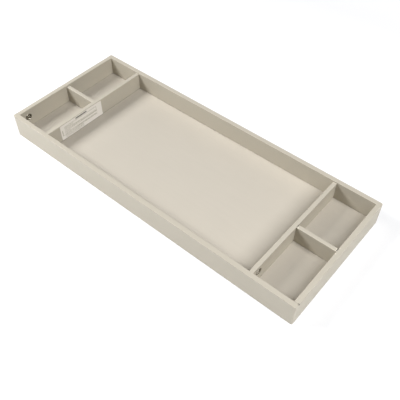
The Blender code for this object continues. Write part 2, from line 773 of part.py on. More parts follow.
def main():
    """Build the whole tray."""
    clear_scene()
    front_rail()
    back_rail()
    for side, sort, middle in joined_boards():
        cross_board(side, sort, middle)
    for side in ("left", "right"):
        divider(side)
    floor_panel()
    cam_locks()
    cam_bolts()
    connector_screws()
    dowels()
    divider_pegs()
    paper_label()


main()
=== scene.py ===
"""Finish of a painted changing tray: fine boards, cam locks, screws, label, paint and a plain studio.

Laid out as an add-on and run as a script. Lengths are in metres: +X runs to the tray's right end,
+Y to its back, +Z up, and the tray stands on z = 0.
"""

import json
import math

import bmesh
import bpy
from bpy.props import FloatProperty, FloatVectorProperty, PointerProperty
from bpy.types import Operator, Panel, PropertyGroup
from mathutils import Matrix, Vector


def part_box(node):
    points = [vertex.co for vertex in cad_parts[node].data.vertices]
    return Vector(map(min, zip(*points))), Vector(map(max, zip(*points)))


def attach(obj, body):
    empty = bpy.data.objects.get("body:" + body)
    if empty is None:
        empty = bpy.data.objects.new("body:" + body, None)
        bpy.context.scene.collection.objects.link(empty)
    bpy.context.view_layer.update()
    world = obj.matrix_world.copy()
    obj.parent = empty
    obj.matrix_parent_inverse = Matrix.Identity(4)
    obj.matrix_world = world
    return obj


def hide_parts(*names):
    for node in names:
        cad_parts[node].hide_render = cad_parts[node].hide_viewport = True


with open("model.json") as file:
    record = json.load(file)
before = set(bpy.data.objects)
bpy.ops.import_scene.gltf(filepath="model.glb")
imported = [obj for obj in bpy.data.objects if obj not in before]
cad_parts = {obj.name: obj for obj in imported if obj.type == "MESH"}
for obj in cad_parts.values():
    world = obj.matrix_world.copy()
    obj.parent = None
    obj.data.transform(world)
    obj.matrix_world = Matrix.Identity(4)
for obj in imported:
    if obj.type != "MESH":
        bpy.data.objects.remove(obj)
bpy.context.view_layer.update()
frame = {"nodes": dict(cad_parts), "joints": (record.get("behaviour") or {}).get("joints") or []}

bl_info = {
    "name": "Changing tray finish",
    "version": (1, 0, 0),
    "blender": (4, 5, 0),
    "location": "View3D > Sidebar > Tray",
    "description": "Paint, fittings, label and studio for a changing tray",
    "category": "Object",
}

X_AXIS, Y_AXIS, Z_AXIS = range(3)

# Boards that run along X and boards that run along Y
LONG_BOARDS = ("front_rail", "back_rail", "left_divider", "right_divider")
CROSS_BOARDS = ("left_end_board", "right_end_board", "left_partition", "right_partition")
# Joints of the cross boards, each with a cam lock, its bolt and a connector screw
JOINTS = ("left_end", "left_partition", "right_partition", "right_end")

# Height over which the painted shade fades above a board's foot and above the floor panel
SHADE_HEIGHT = 0.004
# Reach of the tray's inside, up to the middle of the boards round it
BACK_LOW, BACK_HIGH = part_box("back_rail")
HALF_BOARD = (BACK_HIGH.y - BACK_LOW.y) / 2
INSIDE_X = BACK_HIGH.x - HALF_BOARD
INSIDE_Y = BACK_HIGH.y - HALF_BOARD

# Painted shade in the open joints at the right divider's ends: its width, and the Y from which it runs to
# the divider's back
JOINT_SHADE_WIDTH = 0.0024
JOINT_SHADE_START = -0.003
# Small worn spots, lighter as painted highlights, on top of a board: its low end, 0, or high end, 1, the
# reach from it along X, and Y
WORN_HIGHLIGHT_SPOTS = (
    ("right_divider", 0, 0.0045, -0.0030),
    ("right_divider", 1, -0.0045, -0.0050),
    ("right_divider", 1, -0.0050, 0.0020),
    ("right_end_board", 0, 0.0025, -0.0180),
    ("right_end_board", 0, 0.0020, 0.0075),
)
WORN_HIGHLIGHT_RADIUS = 0.0024

# Joining of a board's loose triangles into whole faces
MERGE_DISTANCE = 0.000002
FLAT_ANGLE = math.radians(0.5)
# Least area of a flat, least part of its normal along one axis, and step between two levels
FLAT_AREA = 0.00002
FLAT_NORMAL = 0.9999
LEVEL_STEP = 0.00002
# Angle past which an edge stays sharp, and the weight of large faces in the shading
SMOOTH_ANGLE = math.radians(50)
FLAT_WEIGHT = 100
# Wear of an arris from 0 to 1, which on paint is also a painted highlight, and -1 where painted shade
# darkens the open seam
EDGE_MARK_ATTRIBUTE = "arris"
SEAM_SHADE_MARK = -1.0

# Wedge where the right end board's joint stands open, and its corners from the board's own corner
SEAM_BOARD = "right_end_board"
SEAM_LENGTH = 0.0055
SEAM_DEPTH = 0.0090
SEAM_GAP = 0.0026
SEAM_REACHES = ((0, 0, 0), (-SEAM_LENGTH, 0, 0), (0, SEAM_GAP, 0), (0, 0, -SEAM_DEPTH))
# How far the wedge's cutter stands off the board's corner
SEAM_CLEAR = 0.0003
# Place of the cuts beside the wedge, as a share of its reach, and how alike the slant of a face with
# painted shade is
SEAM_CUT_SHARE = 1.15
SLANT_LIKENESS = 0.99

# Finishes: noises in turns a metre, and where there are two, across a piece and along it
STROKE_SCALES = (110, 7)
BRUSH_SCALES = (420, 6)
MOTTLE_SCALE = 9
PEEL_SCALE = 650
# Patches of the edge wear, which on paint is also a painted highlight
EDGE_PATCH_SCALE = 60
CAST_SCALE = 900
STAIN_SCALE = 260
TARNISH_SCALE = 300
TURNING_SCALES = (200, 2500)
GRAIN_SCALES = (900, 40)
FLECK_SCALES = (2200, 300)
FIBRE_SCALE = 500
INK_SCALE = 260
# Range in which most of a noise's values lie, and the values at which a fleck starts and is full
NOISE_LOW = 0.3
NOISE_HIGH = 0.7
FLECK_START = 0.6
FLECK_FULL = 0.75
# Darkest and lightest shade, as factors of a finish's colour
STROKE_SHADES = (0.975, 1.02)
MOTTLE_SHADES = (0.985, 1.012)
ZINC_SHADES = (0.82, 1.1)
STEEL_SHADES = (0.85, 1.1)
BEECH_SHADES = (0.86, 1.12)
PAPER_SHADES = (0.97, 1.02)
# Shade of paint worn and lighter as a painted highlight along its arrises, of painted shade, of a worn
# spot lighter as a painted highlight, of rubbed zinc and of a fleck, as factors too
WORN_AND_HIGHLIT_PAINT_SHADE = 1.22
PAINTED_SHADE_FACTOR = 0.25
WORN_HIGHLIGHT_SHADE = 1.5
RUBBED_ZINC_SHADE = 1.45
FLECK_SHADE = 0.6
# Share of the mottle beside the strokes, and most share of the rubbed zinc and of a fleck
MOTTLE_SHARE = 0.45
RUBBED_ZINC_SHARE = 0.6
FLECK_SHARE = 0.6
# Least share of the edge wear, which on paint is also a painted highlight, of the lines' ink and of the
# bar's ink, which are patchy
LEAST_EDGE_SHARE = 0.35
LEAST_LINE_SHARE = 0.4
LEAST_BAR_SHARE = 0.75
# Lowest and highest roughness, for paint and zinc as steps from their own
PAINT_GLOSS_STEPS = (-0.05, 0.07)
ZINC_GLOSS_STEPS = (-0.06, 0.12)
STEEL_ROUGHNESS = (0.24, 0.38)
BEECH_ROUGHNESS = (0.58, 0.72)
PAPER_ROUGHNESS = (0.5, 0.62)
# Depth of the fine relief, for the paint's peel as a share of its brush depth
CAST_RELIEF = 0.00006
TURNING_RELIEF = 0.00002
GRAIN_RELIEF = 0.00005
FIBRE_RELIEF = 0.00002
PEEL_SHARE = 1 / 3

# Cam lock, face up along its own +Z, mouth towards +Y
CAM_FLATS = 96
CAM_BACK_CHAMFER = 0.0004
CAM_CONE_WIDTH = 0.0017
CAM_CONE_DROP = 0.0020
CAM_CREST_WIDTH = 0.0009
CAM_SLOPE_WIDTH = 0.0019
CAM_DISH_DEPTH = 0.0016
CAM_ROUND_STEPS = 4
CAM_ROUND_SHARE = 0.25
CAM_FACE_PLATE = 0.0032
HEAD_HOLLOW = 0.0070
NECK_HOLLOW = 0.0046
CAM_WALL = 0.0048
CAM_DRAW = 0.0013
POCKET_DEPTH = 0.0027
POCKET_HUB = 0.0047
POCKET_RIM = 0.0032
POCKET_FLARE = 0.0006
ARC_STEPS = 12
DRIVE_DEPTH = 0.0030
DRIVE_FLARE = 0.0004
CAST_EDGE = 0.00025
CAST_FILLET = 0.0005
ARROW_LENGTH = 0.0022
ARROW_DEPTH = 0.0004
OVERRUN = 0.002
# Least and most upward part of the normal of a face that is rubbed
RUBBED_SLANTS = (0.3, 0.95)

# Connector screw, from its head at the origin down its own +Z
SCREW_FLATS = 48
SCREW_LENGTH = 0.050
SCREW_HEAD_WIDTH = 0.010
SCREW_HEAD_LENGTH = 0.0035
SCREW_SHANK_WIDTH = 0.0070
SCREW_SHANK_LENGTH = 0.0090
SCREW_ROOT_WIDTH = 0.0050
SCREW_THREAD_PITCH = 0.0040
SCREW_EDGE = 0.0004
SOCKET_DEPTH = 0.0028
SOCKET_FLARE = 0.00025
SOCKET_SIDES = 6

# Label
LABEL_COLUMNS = 56
LABEL_ROWS = 20
LABEL_CORNER_STEPS = 5
LABEL_CURL_LENGTH = 0.035
LABEL_CURL_HEIGHT = 0.014
# Inked part of each ruled row, as shares of the line spacing
LINE_SHARES = (0.25, 0.75)
# Patches of the label as shares of its length, front to back, and of its height, foot to head
HEADING_BAR_SHARES = (0.37, 0.64, 0.865, 0.95)
LINED_PATCH_SHARES = (0.09, 0.88, 0.03, 0.84)
BARE_PATCH_SHARES = (
    (0.22, 0.88, 0.395, 0.465),
    (0.30, 0.86, 0.64, 0.76),
    (0.53, 0.88, 0.03, 0.25),
    (0.00, 0.09, 0.00, 0.65),
)
DARK_ROW_SHARES = (
    (0.48, 0.87, 0.50, 0.54),
    (0.36, 0.86, 0.29, 0.33),
    (0.28, 0.49, 0.58, 0.61),
    (0.03, 0.23, 0.24, 0.26),
    (0.03, 0.045, 0.26, 0.64),
)

# Studio: half of the floor's side, how far it lies below the tray's feet, and its roughness
FLOOR_HALF = 30.0
FLOOR_DROP = 0.0004
FLOOR_ROUGHNESS = 0.8
# White with full opacity
WHITE = (1.0, 1.0, 1.0, 1.0)
# Camera, whose own values for its lens and sensor are millimetres
MILLIMETRES = 1000
SENSOR_WIDTH = 0.036
CLIP_NEAR = 0.05
CLIP_FAR = 60.0
# Turn round the tray from its front to its right, angle above the floor, width, height and distance
SOFTBOXES = {
    "key": (math.radians(305.7), math.radians(41.2), 1.01, 1.43, 3.88),
    "right": (math.radians(89.7), math.radians(48.8), 1.45, 2.18, 3.91),
    "left": (math.radians(282.2), math.radians(10.3), 1.8, 1.4, 5.0),
    "front": (math.radians(14.7), math.radians(10), 2.7, 1.07, 5.0),
    "back": (math.radians(212), math.radians(24), 2.7, 1.8, 5.0),
}
# Distances over which the floor turns into plain white
FLOOR_FADE_START = 1.3
FLOOR_FADE_END = 3.5


# What properties of one kind share
COLOUR = {"subtype": "COLOR", "size": 3, "min": 0, "max": 1}
SHARE = {"subtype": "FACTOR", "min": 0, "max": 1}
LENGTH = {"subtype": "DISTANCE", "unit": "LENGTH"}
ANGLE = {"subtype": "ANGLE", "unit": "ROTATION"}
POWER = {"unit": "POWER", "min": 0, "max": 1500}


class TRAY_PG_paint(PropertyGroup):
    """Paint of the boards and of the floor panel."""

    board_colour: FloatVectorProperty(
        name="Board colour", description="Paint of the rails, ends, partitions and dividers",
        default=(0.480, 0.440, 0.357), **COLOUR,
    )
    panel_colour: FloatVectorProperty(
        name="Panel colour", description="Paint of the floor panel",
        default=(0.506, 0.464, 0.389), **COLOUR,
    )
    # Edge wear and painted highlight: how much lighter the paint gets along every arris
    wear_and_highlight_share: FloatProperty(
        name="Edge wear and highlight", description="How much lighter the paint gets along an arris",
        default=0.35, **SHARE,
    )
    # Width of the band of edge wear and painted highlight beside each arris
    wear_and_highlight_width: FloatProperty(
        name="Wear and highlight width", description="Width of the band beside an arris over which the wear fades",
        min=0.0002, max=0.01, default=0.0009, **LENGTH,
    )
    roughness: FloatProperty(
        name="Roughness", description="Roughness of the satin paint", default=0.53, **SHARE,
    )
    # Painted shade: darker paint along the foot of each face and above the floor panel
    foot_shade: FloatProperty(
        name="Foot shade", description="How much darker the paint gets along the foot of each face",
        default=0.3, **SHARE,
    )
    brush_depth: FloatProperty(
        name="Brush depth", description="Depth of the marks that run along each board",
        min=0, max=0.001, default=0.00004, **LENGTH,
    )


class TRAY_PG_cam(PropertyGroup):
    """Cam locks of die-cast zinc."""

    colour: FloatVectorProperty(
        name="Zinc colour", description="Colour of the bare zinc",
        default=(0.315, 0.293, 0.243), **COLOUR,
    )
    roughness: FloatProperty(
        name="Roughness", description="Roughness of the cast face", default=0.20, **SHARE,
    )
    face_tilt: FloatProperty(
        name="Face tilt", description="Turn of the face's pockets about the cam's axis",
        default=math.radians(21.5), **ANGLE,
    )
    pocket_span: FloatProperty(
        name="Pocket span", description="Angle that each pocket of the face takes up",
        min=0.2, max=3.0, default=math.radians(92), **ANGLE,
    )
    drive_length: FloatProperty(
        name="Drive length", description="Length of each bar of the cross recess",
        min=0.002, max=0.01, default=0.0080, **LENGTH,
    )
    drive_width: FloatProperty(
        name="Drive width", description="Width of each bar of the cross recess",
        min=0.0005, max=0.004, default=0.0018, **LENGTH,
    )


class TRAY_PG_screw(PropertyGroup):
    """Connector screws, cam bolts, dowels and pegs."""

    steel_colour: FloatVectorProperty(
        name="Steel colour", description="Colour of the zinc-plated steel",
        default=(0.58, 0.57, 0.54), **COLOUR,
    )
    beech_colour: FloatVectorProperty(
        name="Beech colour", description="Colour of the dowels and pegs",
        default=(0.56, 0.38, 0.21), **COLOUR,
    )
    socket_width: FloatProperty(
        name="Socket width", description="Width across the flats of the screw's socket",
        min=0.002, max=0.006, default=0.004, **LENGTH,
    )


class TRAY_PG_label(PropertyGroup):
    """Ruled paper label."""

    paper_colour: FloatVectorProperty(
        name="Paper colour", description="Colour of the bare paper",
        default=(0.805, 0.765, 0.695), **COLOUR,
    )
    line_colour: FloatVectorProperty(
        name="Line colour", description="Colour of the ruled lines", default=(0.32, 0.30, 0.20), **COLOUR,
    )
    bar_colour: FloatVectorProperty(
        name="Bar colour", description="Colour of the plain bar at the label's head",
        default=(0.04, 0.035, 0.025), **COLOUR,
    )
    line_ink: FloatProperty(
        name="Line ink", description="Strength of the fine lines beside that of the dark rows",
        default=0.75, **SHARE,
    )
    line_spacing: FloatProperty(
        name="Line spacing", description="Height from one ruled line to the next",
        min=0.001, max=0.02, default=0.0024, **LENGTH,
    )
    corner_radius: FloatProperty(
        name="Corner radius", description="Radius of the label's corners",
        min=0.0005, max=0.01, default=0.0020, **LENGTH,
    )
    thickness: FloatProperty(
        name="Thickness", description="Thickness of the paper",
        min=0.0001, max=0.001, default=0.00022, **LENGTH,
    )
    lift: FloatProperty(
        name="Back lift", description="How far the label's back end stands off the board",
        min=0, max=0.01, default=0.0010, **LENGTH,
    )
    foot_lift: FloatProperty(
        name="Foot lift", description="How far the label's lower edge stands off the board",
        min=0, max=0.01, default=0.0015, **LENGTH,
    )


class TRAY_PG_studio(PropertyGroup):
    """Floor, light and camera."""

    floor_colour: FloatVectorProperty(
        name="Floor colour", description="Colour of the pale floor", default=(0.60, 0.60, 0.60), **COLOUR,
    )
    camera_aim: FloatVectorProperty(
        name="Camera aim", description="Point that the camera looks at",
        subtype="TRANSLATION", unit="LENGTH", size=3, default=(0.1403, -0.0880, 0.05),
    )
    camera_azimuth: FloatProperty(
        name="Camera azimuth", description="Turn of the camera from the tray's front to its right",
        default=math.radians(40.146), **ANGLE,
    )
    camera_elevation: FloatProperty(
        name="Camera elevation", description="Height of the camera above the floor, as an angle",
        default=math.radians(49.145), **ANGLE,
    )
    camera_roll: FloatProperty(
        name="Camera roll", description="Turn of the camera about its own axis",
        default=math.radians(0.177), **ANGLE,
    )
    camera_distance: FloatProperty(
        name="Camera distance", description="Distance from the camera to its aim",
        min=0.1, max=20, default=1.8171, **LENGTH,
    )
    focal_length: FloatProperty(
        name="Focal length", description="Focal length of the lens",
        min=0.01, max=0.3, default=0.05074, **LENGTH,
    )
    light_colour: FloatVectorProperty(
        name="Light colour", description="Colour of the soft lights",
        default=(0.971, 0.976, 1.0), **COLOUR,
    )
    key_power: FloatProperty(
        name="Key light", description="Power of the large soft light at the left", default=154, **POWER,
    )
    right_power: FloatProperty(
        name="Right light", description="Power of the tall soft light at the right",
        default=140.6, **POWER,
    )
    left_power: FloatProperty(
        name="Left light", description="Power of the low soft light at the left", default=58.5, **POWER,
    )
    front_power: FloatProperty(
        name="Front light", description="Power of the low soft light in front", default=8.9, **POWER,
    )
    back_power: FloatProperty(
        name="Back light", description="Power of the low soft light behind", default=18.7, **POWER,
    )
    room_light: FloatProperty(
        name="Room light", description="Strength of the even light from all round",
        min=0, max=5, default=0.0,
    )
    floor_glow: FloatProperty(
        name="Floor glow", description="Light that the floor gives off by itself",
        min=0, max=2, default=0.40,
    )


# Nodes of a material

def fill_inputs(tree, node, values):
    """Link a node's inputs to sockets, or set them to plain values."""
    for key, value in values.items():
        if isinstance(value, bpy.types.NodeSocket):
            tree.links.new(value, node.inputs[key])
        else:
            node.inputs[key].default_value = value


def make_node(tree, kind, values=None, **settings):
    """Add a shader node, with its settings and what its inputs take."""
    node = tree.nodes.new(kind)
    for key, value in settings.items():
        setattr(node, key, value)
    fill_inputs(tree, node, values or {})
    return node


def new_material(name):
    """Return a new material, its node tree and its Principled shader."""
    material = bpy.data.materials.new(name)
    material.use_nodes = True
    tree = material.node_tree
    return material, tree, tree.nodes["Principled BSDF"]


def object_place(tree):
    """Return the socket that gives a surface point's place, in metres."""
    return make_node(tree, "ShaderNodeTexCoord").outputs["Object"]


def place_axes(tree, place):
    """Return the sockets of a place's X, Y and Z."""
    return make_node(tree, "ShaderNodeSeparateXYZ", {"Vector": place}).outputs


def edge_marks(tree):
    """Return the socket of the wear, and of the painted shade in the open seam, that are marked on a
    piece's mesh.
    """
    return make_node(tree, "ShaderNodeAttribute", attribute_name=EDGE_MARK_ATTRIBUTE).outputs["Fac"]


def noise(tree, place, scale, detail=3.0, roughness=0.5):
    """Return a noise whose scale is one number, or one for each axis, in turns a metre."""
    scale = scale if isinstance(scale, tuple) else (scale, scale, scale)
    mapping = make_node(tree, "ShaderNodeMapping", {"Vector": place, "Scale": scale})
    values = {"Vector": mapping.outputs["Vector"], "Scale": 1.0, "Detail": detail, "Roughness": roughness}
    return make_node(tree, "ShaderNodeTexNoise", values).outputs["Fac"]


def spread(tree, socket, low, high, start=NOISE_LOW, end=NOISE_HIGH):
    """Return a socket's values from start to end, spread between low and high."""
    values = {"Value": socket, "From Min": start, "From Max": end, "To Min": low, "To Max": high}
    return make_node(tree, "ShaderNodeMapRange", values).outputs["Result"]


def math_node(tree, operation, first, second):
    """Return the result of an operation on two sockets or numbers."""
    return make_node(tree, "ShaderNodeMath", {0: first, 1: second}, operation=operation).outputs["Value"]


def product(tree, first, second):
    """Return the product of two sockets or numbers."""
    return math_node(tree, "MULTIPLY", first, second)


def band(tree, value, low, high):
    """Return 1 where a value lies between two limits, else 0."""
    above = math_node(tree, "GREATER_THAN", value, low)
    below = math_node(tree, "LESS_THAN", value, high)
    return product(tree, above, below)


def shade(colour, factor):
    """Return a colour made lighter or darker, with full opacity."""
    return (*(min(1.0, channel * factor) for channel in colour), 1.0)


def mix_colours(tree, share, first, second):
    """Return a mix of two colours or colour sockets by a share or its socket."""
    node = make_node(tree, "ShaderNodeMix", {"Factor": share}, data_type="RGBA")
    ends = [index for index, item in enumerate(node.inputs) if item.type == "RGBA"]
    fill_inputs(tree, node, dict(zip(ends, (first, second))))
    return next(item for item in node.outputs if item.type == "RGBA")


def toned(tree, pattern, colour, shades):
    """Return a colour that goes from its darkest to its lightest shade with a noise."""
    darkest, lightest = (shade(colour, factor) for factor in shades)
    return mix_colours(tree, spread(tree, pattern, 0, 1), darkest, lightest)


def uneven(tree, pattern, roughness, steps):
    """Return a roughness that goes by two steps, down and up, with a noise."""
    return spread(tree, pattern, roughness + steps[0], roughness + steps[1])


def bump(tree, height, distance, below=None):
    """Return a bump of a real depth on top of another bump."""
    values = {"Strength": 1.0, "Distance": distance, "Height": height}
    if below is not None:
        values["Normal"] = below
    return make_node(tree, "ShaderNodeBump", values).outputs["Normal"]


def along(axis, across, lengthways):
    """Return a noise scale with one number across an axis and another along it."""
    return tuple(lengthways if item == axis else across for item in range(3))


# Materials

def patchy_edge_mask(tree, place):
    """Return the share of edge wear, on paint also a painted highlight: patchy along each arris, none on
    the flats.
    """
    patches = spread(tree, noise(tree, place, EDGE_PATCH_SCALE, detail=4), LEAST_EDGE_SHARE, 1.0)
    return product(tree, edge_marks(tree), patches)


def joint_shade(tree, x, y):
    """Return 1 in the open joints at the right divider's ends, which get painted shade, else 0."""
    low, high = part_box("right_divider")
    left = band(tree, x, low.x, low.x + JOINT_SHADE_WIDTH)
    right = band(tree, x, high.x - JOINT_SHADE_WIDTH, high.x)
    ends = math_node(tree, "MAXIMUM", left, right)
    return product(tree, ends, band(tree, y, JOINT_SHADE_START, high.y))


def worn_highlight_mask(tree, place):
    """Return the share of the small worn spots, lighter as painted highlights, beside the right divider's
    ends.
    """
    share = 0.0
    for board, end, reach, y in WORN_HIGHLIGHT_SPOTS:
        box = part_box(board)
        centre = (box[end].x + reach, y, box[1].z)
        node = make_node(tree, "ShaderNodeVectorMath", {0: place, 1: centre}, operation="DISTANCE")
        distance = node.outputs["Value"]
        spot = spread(tree, distance, 1.0, 0.0, WORN_HIGHLIGHT_RADIUS / 2, WORN_HIGHLIGHT_RADIUS)
        share = math_node(tree, "MAXIMUM", spot, share)
    return share


def painted_shade_mask(tree, place, look):
    """Return the share of painted shade: at the boards' feet, above the floor panel, in the open seam and
    in the open joints.
    """
    axes = place_axes(tree, place)
    x, y, z = (axes[name] for name in "XYZ")
    # Painted shade along the foot of each face
    foot = spread(tree, z, look.foot_shade, 0.0, 0.0, SHADE_HEIGHT)
    # Painted contact shadow above the floor panel, inside the tray, where the boards meet it
    panel_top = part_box("floor_panel")[1].z
    corner = spread(tree, z, look.foot_shade, 0.0, panel_top, panel_top + SHADE_HEIGHT)
    inside_x = band(tree, x, -INSIDE_X, INSIDE_X)
    inside_y = band(tree, y, -INSIDE_Y, INSIDE_Y)
    shaded = product(tree, corner, product(tree, inside_x, inside_y))
    # Painted shade in the open seam
    seam_shade = spread(tree, edge_marks(tree), 1.0, 0.0, SEAM_SHADE_MARK, 0.0)
    for share in (foot, seam_shade, joint_shade(tree, x, y)):
        shaded = math_node(tree, "MAXIMUM", shaded, share)
    return shaded


def paint_material(name, colour, axis, look, with_painted_shade=True):
    """Return satin paint brushed along an axis, worn a little and lighter as a painted highlight along its
    arrises.
    """
    material, tree, shader = new_material(name)
    place = object_place(tree)
    strokes = noise(tree, place, along(axis, *STROKE_SCALES), detail=5, roughness=0.6)
    brushed = toned(tree, strokes, colour, STROKE_SHADES)
    cloudy = toned(tree, noise(tree, place, MOTTLE_SCALE), colour, MOTTLE_SHADES)
    finish = mix_colours(tree, MOTTLE_SHARE, brushed, cloudy)
    # Edge wear and painted highlight: the paint is lighter along every arris
    worn_and_highlit = product(tree, patchy_edge_mask(tree, place), look.wear_and_highlight_share)
    finish = mix_colours(tree, worn_and_highlit, finish, shade(colour, WORN_AND_HIGHLIT_PAINT_SHADE))
    # Painted shade at the feet, above the floor panel and in the open seam and joints, and worn spots that
    # are lighter as painted highlights
    if with_painted_shade:
        finish = mix_colours(tree, painted_shade_mask(tree, place, look), finish, shade(colour, PAINTED_SHADE_FACTOR))
        finish = mix_colours(tree, worn_highlight_mask(tree, place), finish, shade(colour, WORN_HIGHLIGHT_SHADE))
    gloss = uneven(tree, strokes, look.roughness, PAINT_GLOSS_STEPS)
    marks = bump(tree, noise(tree, place, along(axis, *BRUSH_SCALES)), look.brush_depth)
    peel = bump(tree, noise(tree, place, PEEL_SCALE, detail=2), look.brush_depth * PEEL_SHARE, marks)
    fill_inputs(tree, shader, {"Base Color": finish, "Roughness": gloss, "Normal": peel})
    return material


def zinc_material(look):
    """Return bare die-cast zinc, brighter where its edges are rubbed."""
    material, tree, shader = new_material("cast_zinc")
    place = object_place(tree)
    stain = noise(tree, place, STAIN_SCALE)
    dull = toned(tree, stain, look.colour, ZINC_SHADES)
    rubbed = product(tree, patchy_edge_mask(tree, place), RUBBED_ZINC_SHARE)
    finish = mix_colours(tree, rubbed, dull, shade(look.colour, RUBBED_ZINC_SHADE))
    gloss = uneven(tree, stain, look.roughness, ZINC_GLOSS_STEPS)
    cast = bump(tree, noise(tree, place, CAST_SCALE, detail=4), CAST_RELIEF)
    fill_inputs(tree, shader, {"Base Color": finish, "Roughness": gloss, "Normal": cast, "Metallic": 1.0})
    return material


def steel_material(look):
    """Return zinc-plated steel with fine turning marks."""
    material, tree, shader = new_material("plated_steel")
    place = object_place(tree)
    tarnish = noise(tree, place, TARNISH_SCALE)
    tone = toned(tree, tarnish, look.steel_colour, STEEL_SHADES)
    gloss = spread(tree, tarnish, *STEEL_ROUGHNESS)
    turning = bump(tree, noise(tree, place, along(Y_AXIS, *TURNING_SCALES), detail=2), TURNING_RELIEF)
    fill_inputs(tree, shader, {"Base Color": tone, "Roughness": gloss, "Normal": turning, "Metallic": 1.0})
    return material


def beech_material(name, look, axis):
    """Return bare beech with its grain and short flecks along an axis."""
    material, tree, shader = new_material(name)
    place = object_place(tree)
    grain = noise(tree, place, along(axis, *GRAIN_SCALES), detail=4)
    specks = noise(tree, place, along(axis, *FLECK_SCALES), detail=1)
    flecks = spread(tree, specks, 0, FLECK_SHARE, FLECK_START, FLECK_FULL)
    wood = toned(tree, grain, look.beech_colour, BEECH_SHADES)
    finish = mix_colours(tree, flecks, wood, shade(look.beech_colour, FLECK_SHADE))
    gloss = spread(tree, grain, *BEECH_ROUGHNESS)
    relief = bump(tree, grain, GRAIN_RELIEF)
    fill_inputs(tree, shader, {"Base Color": finish, "Roughness": gloss, "Normal": relief})
    return material


def patch(tree, axes, shares):
    """Return 1 inside a patch of the label, given as shares of its length and height, else 0."""
    low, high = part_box("blank_label")
    length, height = high.y - low.y, high.z - low.z
    start, end, foot, head = shares
    lengthways = band(tree, axes["Y"], low.y + start * length, low.y + end * length)
    upwards = band(tree, axes["Z"], low.z + foot * height, low.z + head * height)
    return product(tree, lengthways, upwards)


def ruled_lines(tree, axes, look):
    """Return the ink on the label: fine lines over most of it, bare patches and dark rows."""
    values = {0: axes["Z"], 1: look.line_spacing, 2: 0.0}
    row = make_node(tree, "ShaderNodeMath", values, operation="WRAP").outputs["Value"]
    line = band(tree, row, *(look.line_spacing * share for share in LINE_SHARES))
    ink = product(tree, line, patch(tree, axes, LINED_PATCH_SHARES))
    for shares in BARE_PATCH_SHARES:
        ink = math_node(tree, "SUBTRACT", ink, patch(tree, axes, shares))
    ink = product(tree, math_node(tree, "MAXIMUM", ink, 0.0), look.line_ink)
    for shares in DARK_ROW_SHARES:
        ink = math_node(tree, "MAXIMUM", ink, patch(tree, axes, shares))
    return ink


def paper_material(look):
    """Return matt paper with faint ruled lines and a plain bar, whose ink is uneven."""
    material, tree, shader = new_material("ruled_paper")
    place = object_place(tree)
    axes = place_axes(tree, place)
    fibre = noise(tree, place, FIBRE_SCALE, detail=4)
    blots = noise(tree, place, INK_SCALE, detail=2)
    line_ink, bar_ink = (spread(tree, blots, least, 1.0) for least in (LEAST_LINE_SHARE, LEAST_BAR_SHARE))
    lines = product(tree, ruled_lines(tree, axes, look), line_ink)
    bar = product(tree, patch(tree, axes, HEADING_BAR_SHARES), bar_ink)
    paper = toned(tree, fibre, look.paper_colour, PAPER_SHADES)
    ruled = mix_colours(tree, lines, paper, shade(look.line_colour, 1.0))
    finish = mix_colours(tree, bar, ruled, shade(look.bar_colour, 1.0))
    gloss = spread(tree, fibre, *PAPER_ROUGHNESS)
    relief = bump(tree, fibre, FIBRE_RELIEF)
    fill_inputs(tree, shader, {"Base Color": finish, "Roughness": gloss, "Normal": relief})
    return material


def floor_material(look):
    """Return the pale floor's finish, which turns into plain white far from the tray."""
    material, tree, shader = new_material("studio_floor")
    node = make_node(tree, "ShaderNodeVectorMath", {0: object_place(tree)}, operation="LENGTH")
    distance = node.outputs["Value"]
    glow = spread(tree, distance, look.floor_glow, 1.0, FLOOR_FADE_START, FLOOR_FADE_END)
    fill_inputs(tree, shader, {
        "Base Color": shade(look.floor_colour, 1.0), "Roughness": FLOOR_ROUGHNESS,
        "Emission Color": WHITE, "Emission Strength": glow,
    })
    return material


# Meshes

def add_object(name, data):
    """Return a new object in the scene."""
    item = bpy.data.objects.new(name, data)
    bpy.context.scene.collection.objects.link(item)
    return item


def add_mesh(name, bm, *materials):
    """Return a new object with a bmesh's shape."""
    mesh = bpy.data.meshes.new(name)
    bm.to_mesh(mesh)
    bm.free()
    for material in materials:
        mesh.materials.append(material)
    return add_object(name, mesh)


def add_piece(name, bm, material, body, slot, *nodes):
    """Make a smooth piece from a bmesh, let it ride on a body and stand for CAD nodes."""
    piece = add_mesh(name, bm, material)
    piece.data.shade_smooth()
    piece.data.set_sharp_from_angle(angle=SMOOTH_ANGLE)
    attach(piece, body)
    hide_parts(*nodes)
    return piece


def even_flats(piece):
    """Keep a piece's flat faces flat, by normals that follow its large faces."""
    weighted = piece.modifiers.new("even_flats", "WEIGHTED_NORMAL")
    weighted.keep_sharp = True
    weighted.weight = FLAT_WEIGHT


def slice_across(bm, axis, place):
    """Cut every face that a plane across an axis meets."""
    point, normal = Vector((0, 0, 0)), Vector((0, 0, 0))
    point[axis] = place
    normal[axis] = 1
    parts = bm.verts[:] + bm.edges[:] + bm.faces[:]
    bmesh.ops.bisect_plane(bm, geom=parts, plane_co=point, plane_no=normal)


def merged_copy(node):
    """Return a bmesh of a CAD node with its triangles joined into whole faces."""
    bm = bmesh.new()
    bm.from_mesh(frame["nodes"][node].data)
    bmesh.ops.remove_doubles(bm, verts=bm.verts[:], dist=MERGE_DISTANCE)
    bmesh.ops.dissolve_limit(bm, angle_limit=FLAT_ANGLE, verts=bm.verts[:], edges=bm.edges[:])
    return bm


